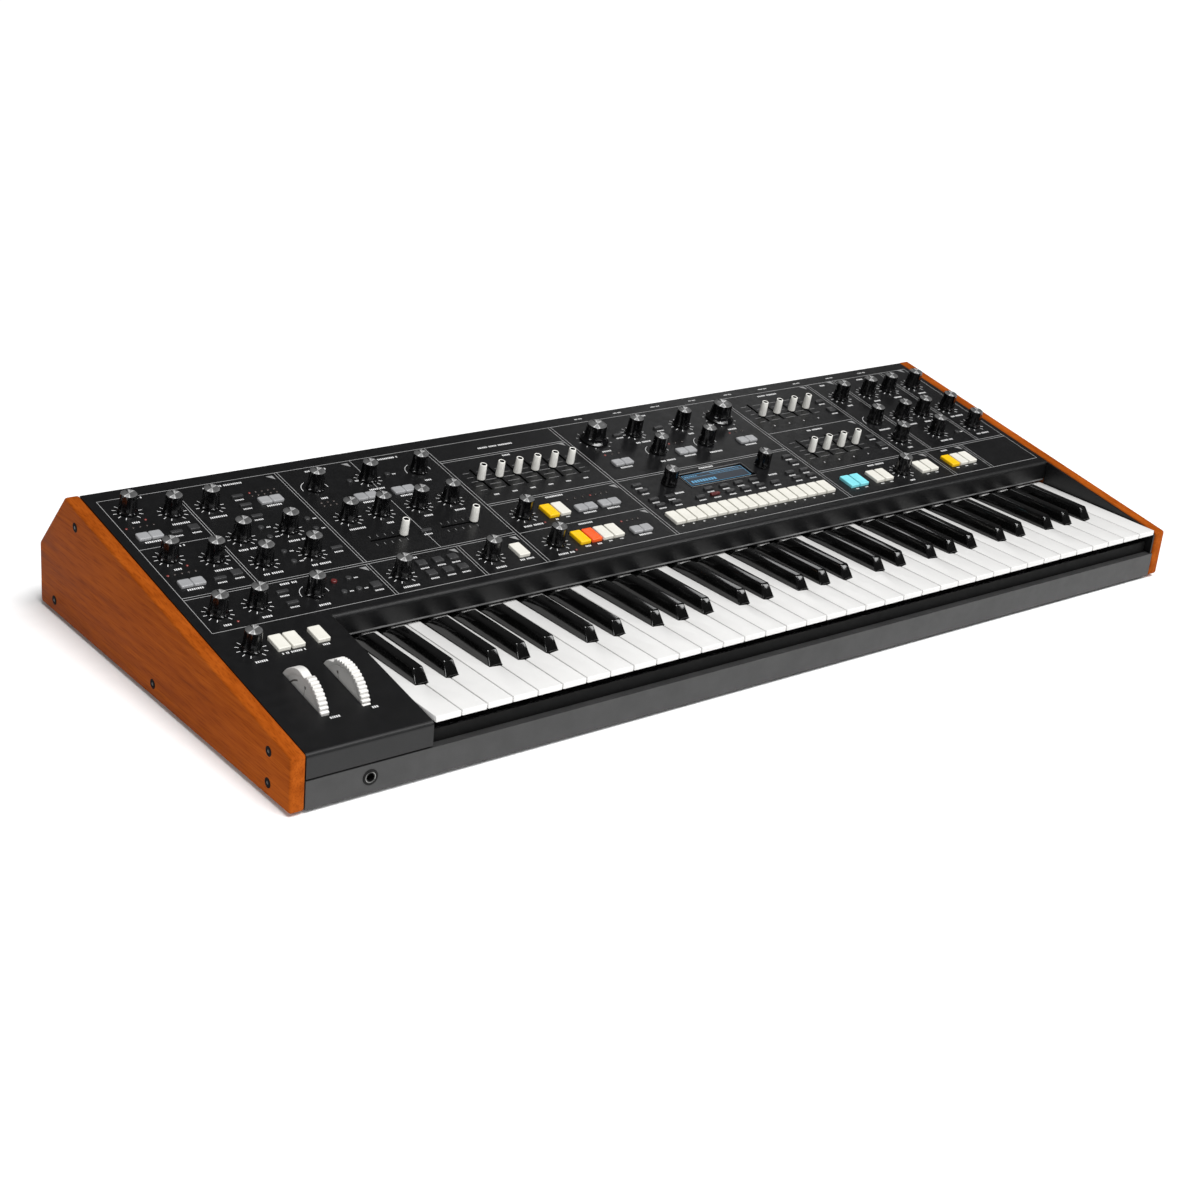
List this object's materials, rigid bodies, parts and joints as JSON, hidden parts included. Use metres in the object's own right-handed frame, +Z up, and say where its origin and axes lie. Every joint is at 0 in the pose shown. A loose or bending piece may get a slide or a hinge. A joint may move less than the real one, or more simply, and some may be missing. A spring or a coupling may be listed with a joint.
{
  "type": "synthesizer",
  "caption": "Keyboard synthesizer with wooden end cheeks, a sloping black panel of knobs, faders and buttons, performance wheels and a full-size keyboard.",
  "frame": {"origin": "on the surface the feet stand on, at the middle of the case's width and depth", "axes": "+X to the player's right along the keyboard, +Y away from the player towards the rear panel, +Z up"},
  "size_m": [0.984, 0.417, 0.127],
  "materials": {
    "wood": "satin",
    "black_steel": "matte",
    "grey_steel": "satin",
    "white_key": "satin",
    "black_key": "gloss",
    "knob": "satin",
    "white_cap": "satin",
    "yellow_cap": "satin",
    "orange_cap": "satin",
    "board": "satin",
    "rubber": "matte",
    "window": "gloss",
    "black_plastic": "matte",
    "socket": "gloss"
  },
  "bodies": {
    "case": {"left_cheek": "wood", "right_cheek": "wood", "top_panel": "black_steel", "bottom_pan": "black_steel", "rear_panel": "black_steel", "headphone_jack": "socket", "rear_jack_board": "board", "power_inlet": "black_plastic", "keybed_frame": "grey_steel", "key_contact_board": "board", "key_slip": "black_steel", "right_end_wall": "black_steel", "wheel_bracket": "grey_steel", "control_board": "board", "display_window": "window", "main_board": "board", "power_supply": "grey_steel", "front_left_foot": "rubber", "front_right_foot": "rubber", "rear_left_foot": "rubber", "rear_right_foot": "rubber"},
    "white_keys_c_e_g_b_octave_1": {"white_keys_c_e_g_b_octave_1": "white_key"},
    "white_keys_d_f_a_octave_1": {"white_keys_d_f_a_octave_1": "white_key"},
    "black_keys_octave_1": {"black_keys_octave_1": "black_key"},
    "white_keys_c_e_g_b_octave_2": {"white_keys_c_e_g_b_octave_2": "white_key"},
    "white_keys_d_f_a_octave_2": {"white_keys_d_f_a_octave_2": "white_key"},
    "black_keys_octave_2": {"black_keys_octave_2": "black_key"},
    "white_keys_c_e_g_b_octave_3": {"white_keys_c_e_g_b_octave_3": "white_key"},
    "white_keys_d_f_a_octave_3": {"white_keys_d_f_a_octave_3": "white_key"},
    "black_keys_octave_3": {"black_keys_octave_3": "black_key"},
    "white_keys_c_e_g_b_octave_4": {"white_keys_c_e_g_b_octave_4": "white_key"},
    "white_keys_d_f_a_octave_4": {"white_keys_d_f_a_octave_4": "white_key"},
    "black_keys_octave_4": {"black_keys_octave_4": "black_key"},
    "white_keys_c_e_g_b_octave_5": {"white_keys_c_e_g_b_octave_5": "white_key"},
    "white_keys_d_f_a_octave_5": {"white_keys_d_f_a_octave_5": "white_key"},
    "black_keys_octave_5": {"black_keys_octave_5": "black_key"},
    "white_key_top_c": {"white_key_top_c": "white_key"},
    "pitch_wheel": {"pitch_wheel": "white_cap"},
    "mod_wheel": {"mod_wheel": "white_cap"},
    "cutoff_knob_1": {"cutoff_knob_1": "knob"},
    "cutoff_knob_2": {"cutoff_knob_2": "knob"},
    "select_encoder": {"select_encoder": "knob"},
    "value_encoder": {"value_encoder": "knob"},
    "glide_knob": {"glide_knob": "knob"},
    "tempo_knob": {"tempo_knob": "knob"},
    "master_volume_knob": {"master_volume_knob": "knob"},
    "mixer_fader_1": {"mixer_fader_1": "white_cap"},
    "mixer_fader_2": {"mixer_fader_2": "white_cap"},
    "mixer_fader_3": {"mixer_fader_3": "white_cap"},
    "mixer_fader_4": {"mixer_fader_4": "white_cap"},
    "mixer_fader_5": {"mixer_fader_5": "white_cap"},
    "mixer_fader_6": {"mixer_fader_6": "white_cap"},
    "wave_mix_fader": {"wave_mix_fader": "white_cap"},
    "octave_down_button": {"octave_down_button": "white_cap"},
    "octave_up_button": {"octave_up_button": "white_cap"},
    "hold_button": {"hold_button": "white_cap"},
    "tap_tempo_button": {"tap_tempo_button": "white_cap"},
    "arpeggio_button": {"arpeggio_button": "yellow_cap"},
    "sequencer_play_button": {"sequencer_play_button": "yellow_cap"},
    "sequencer_record_button": {"sequencer_record_button": "orange_cap"}
  },
  "joints": [
    {"name": "white_keys_c_e_g_b_octave_1_pivot", "type": "hinge", "parent": "case", "child": "white_keys_c_e_g_b_octave_1", "pos_m": [-0.28825, -0.0185, 0.043], "axis": [1, 0, 0], "range_deg": [0, 3], "stiffness_Nm_per_rad": 3, "springref_deg": -8.59},
    {"name": "white_keys_d_f_a_octave_1_pivot", "type": "hinge", "parent": "case", "child": "white_keys_d_f_a_octave_1", "pos_m": [-0.28825, -0.0185, 0.043], "axis": [1, 0, 0], "range_deg": [0, 3], "stiffness_Nm_per_rad": 2.4, "springref_deg": -8.59},
    {"name": "black_keys_octave_1_pivot", "type": "hinge", "parent": "case", "child": "black_keys_octave_1", "pos_m": [-0.28825, -0.0185, 0.043], "axis": [1, 0, 0], "range_deg": [0, 3], "stiffness_Nm_per_rad": 1.8, "springref_deg": -8.59},
    {"name": "white_keys_c_e_g_b_octave_2_pivot", "type": "hinge", "parent": "case", "child": "white_keys_c_e_g_b_octave_2", "pos_m": [-0.12375, -0.0185, 0.043], "axis": [1, 0, 0], "range_deg": [0, 3], "stiffness_Nm_per_rad": 3, "springref_deg": -8.59},
    {"name": "white_keys_d_f_a_octave_2_pivot", "type": "hinge", "parent": "case", "child": "white_keys_d_f_a_octave_2", "pos_m": [-0.12375, -0.0185, 0.043], "axis": [1, 0, 0], "range_deg": [0, 3], "stiffness_Nm_per_rad": 2.4, "springref_deg": -8.59},
    {"name": "black_keys_octave_2_pivot", "type": "hinge", "parent": "case", "child": "black_keys_octave_2", "pos_m": [-0.12375, -0.0185, 0.043], "axis": [1, 0, 0], "range_deg": [0, 3], "stiffness_Nm_per_rad": 1.8, "springref_deg": -8.59},
    {"name": "white_keys_c_e_g_b_octave_3_pivot", "type": "hinge", "parent": "case", "child": "white_keys_c_e_g_b_octave_3", "pos_m": [0.04075, -0.0185, 0.043], "axis": [1, 0, 0], "range_deg": [0, 3], "stiffness_Nm_per_rad": 3, "springref_deg": -8.59},
    {"name": "white_keys_d_f_a_octave_3_pivot", "type": "hinge", "parent": "case", "child": "white_keys_d_f_a_octave_3", "pos_m": [0.04075, -0.0185, 0.043], "axis": [1, 0, 0], "range_deg": [0, 3], "stiffness_Nm_per_rad": 2.4, "springref_deg": -8.59},
    {"name": "black_keys_octave_3_pivot", "type": "hinge", "parent": "case", "child": "black_keys_octave_3", "pos_m": [0.04075, -0.0185, 0.043], "axis": [1, 0, 0], "range_deg": [0, 3], "stiffness_Nm_per_rad": 1.8, "springref_deg": -8.59},
    {"name": "white_keys_c_e_g_b_octave_4_pivot", "type": "hinge", "parent": "case", "child": "white_keys_c_e_g_b_octave_4", "pos_m": [0.20525, -0.0185, 0.043], "axis": [1, 0, 0], "range_deg": [0, 3], "stiffness_Nm_per_rad": 3, "springref_deg": -8.59},
    {"name": "white_keys_d_f_a_octave_4_pivot", "type": "hinge", "parent": "case", "child": "white_keys_d_f_a_octave_4", "pos_m": [0.20525, -0.0185, 0.043], "axis": [1, 0, 0], "range_deg": [0, 3], "stiffness_Nm_per_rad": 2.4, "springref_deg": -8.59},
    {"name": "black_keys_octave_4_pivot", "type": "hinge", "parent": "case", "child": "black_keys_octave_4", "pos_m": [0.20525, -0.0185, 0.043], "axis": [1, 0, 0], "range_deg": [0, 3], "stiffness_Nm_per_rad": 1.8, "springref_deg": -8.59},
    {"name": "white_keys_c_e_g_b_octave_5_pivot", "type": "hinge", "parent": "case", "child": "white_keys_c_e_g_b_octave_5", "pos_m": [0.36975, -0.0185, 0.043], "axis": [1, 0, 0], "range_deg": [0, 3], "stiffness_Nm_per_rad": 3, "springref_deg": -8.59},
    {"name": "white_keys_d_f_a_octave_5_pivot", "type": "hinge", "parent": "case", "child": "white_keys_d_f_a_octave_5", "pos_m": [0.36975, -0.0185, 0.043], "axis": [1, 0, 0], "range_deg": [0, 3], "stiffness_Nm_per_rad": 2.4, "springref_deg": -8.59},
    {"name": "black_keys_octave_5_pivot", "type": "hinge", "parent": "case", "child": "black_keys_octave_5", "pos_m": [0.36975, -0.0185, 0.043], "axis": [1, 0, 0], "range_deg": [0, 3], "stiffness_Nm_per_rad": 1.8, "springref_deg": -8.59},
    {"name": "white_key_top_c_pivot", "type": "hinge", "parent": "case", "child": "white_key_top_c", "pos_m": [0.46375, -0.0185, 0.043], "axis": [1, 0, 0], "range_deg": [0, 3], "stiffness_Nm_per_rad": 0.75, "springref_deg": -8.59},
    {"name": "pitch_wheel_axle", "type": "hinge", "parent": "case", "child": "pitch_wheel", "pos_m": [-0.4417, -0.1397, 0.0442], "axis": [1, 0, 0], "range_deg": [-38, 38], "stiffness_Nm_per_rad": 0.06},
    {"name": "mod_wheel_axle", "type": "hinge", "parent": "case", "child": "mod_wheel", "pos_m": [-0.4065, -0.1397, 0.0442], "axis": [1, 0, 0], "range_deg": [-8, 68]},
    {"name": "cutoff_knob_1_shaft", "type": "hinge", "parent": "case", "child": "cutoff_knob_1", "pos_m": [0.0188, 0.111, 0.10591], "axis": [0, -0.1798, 0.9837], "range_deg": [-150, 150]},
    {"name": "cutoff_knob_2_shaft", "type": "hinge", "parent": "case", "child": "cutoff_knob_2", "pos_m": [0.1766, 0.111, 0.10591], "axis": [0, -0.1798, 0.9837], "range_deg": [-150, 150]},
    {"name": "select_encoder_shaft", "type": "hinge", "parent": "case", "child": "select_encoder", "pos_m": [0.0395, 0.022, 0.08964], "axis": [0, -0.1798, 0.9837], "continuous": true},
    {"name": "value_encoder_shaft", "type": "hinge", "parent": "case", "child": "value_encoder", "pos_m": [0.156, 0.022, 0.08964], "axis": [0, -0.1798, 0.9837], "continuous": true},
    {"name": "glide_knob_shaft", "type": "hinge", "parent": "case", "child": "glide_knob", "pos_m": [-0.4527, -0.0807, 0.07086], "axis": [0, -0.1798, 0.9837], "range_deg": [-150, 150]},
    {"name": "tempo_knob_shaft", "type": "hinge", "parent": "case", "child": "tempo_knob", "pos_m": [-0.1981, -0.0303, 0.08008], "axis": [0, -0.1798, 0.9837], "range_deg": [-150, 150]},
    {"name": "master_volume_knob_shaft", "type": "hinge", "parent": "case", "child": "master_volume_knob", "pos_m": [0.452, 0.111, 0.10591], "axis": [0, -0.1798, 0.9837], "range_deg": [-150, 150]},
    {"name": "mixer_fader_1_track", "type": "slide", "parent": "case", "child": "mixer_fader_1", "axis": [0, 0.9837, 0.1798], "range_m": [-0.015, 0.015]},
    {"name": "mixer_fader_2_track", "type": "slide", "parent": "case", "child": "mixer_fader_2", "axis": [0, 0.9837, 0.1798], "range_m": [-0.015, 0.015]},
    {"name": "mixer_fader_3_track", "type": "slide", "parent": "case", "child": "mixer_fader_3", "axis": [0, 0.9837, 0.1798], "range_m": [-0.015, 0.015]},
    {"name": "mixer_fader_4_track", "type": "slide", "parent": "case", "child": "mixer_fader_4", "axis": [0, 0.9837, 0.1798], "range_m": [-0.015, 0.015]},
    {"name": "mixer_fader_5_track", "type": "slide", "parent": "case", "child": "mixer_fader_5", "axis": [0, 0.9837, 0.1798], "range_m": [-0.015, 0.015]},
    {"name": "mixer_fader_6_track", "type": "slide", "parent": "case", "child": "mixer_fader_6", "axis": [0, 0.9837, 0.1798], "range_m": [-0.015, 0.015]},
    {"name": "wave_mix_fader_track", "type": "slide", "parent": "case", "child": "wave_mix_fader", "axis": [1, 0, 0], "range_m": [-0.03, 0]},
    {"name": "octave_down_button_press", "type": "slide", "parent": "case", "child": "octave_down_button", "axis": [0, 0.1798, -0.9837], "range_m": [0, 0.0012], "stiffness_N_per_m": 350, "springref_m": -0.001},
    {"name": "octave_up_button_press", "type": "slide", "parent": "case", "child": "octave_up_button", "axis": [0, 0.1798, -0.9837], "range_m": [0, 0.0012], "stiffness_N_per_m": 350, "springref_m": -0.001},
    {"name": "hold_button_press", "type": "slide", "parent": "case", "child": "hold_button", "axis": [0, 0.1798, -0.9837], "range_m": [0, 0.0012], "stiffness_N_per_m": 350, "springref_m": -0.001},
    {"name": "tap_tempo_button_press", "type": "slide", "parent": "case", "child": "tap_tempo_button", "axis": [0, 0.1798, -0.9837], "range_m": [0, 0.0012], "stiffness_N_per_m": 350, "springref_m": -0.001},
    {"name": "arpeggio_button_press", "type": "slide", "parent": "case", "child": "arpeggio_button", "axis": [0, 0.1798, -0.9837], "range_m": [0, 0.0012], "stiffness_N_per_m": 350, "springref_m": -0.001},
    {"name": "sequencer_play_button_press", "type": "slide", "parent": "case", "child": "sequencer_play_button", "axis": [0, 0.1798, -0.9837], "range_m": [0, 0.0012], "stiffness_N_per_m": 350, "springref_m": -0.001},
    {"name": "sequencer_record_button_press", "type": "slide", "parent": "case", "child": "sequencer_record_button", "axis": [0, 0.1798, -0.9837], "range_m": [0, 0.0012], "stiffness_N_per_m": 350, "springref_m": -0.001}
  ]
}
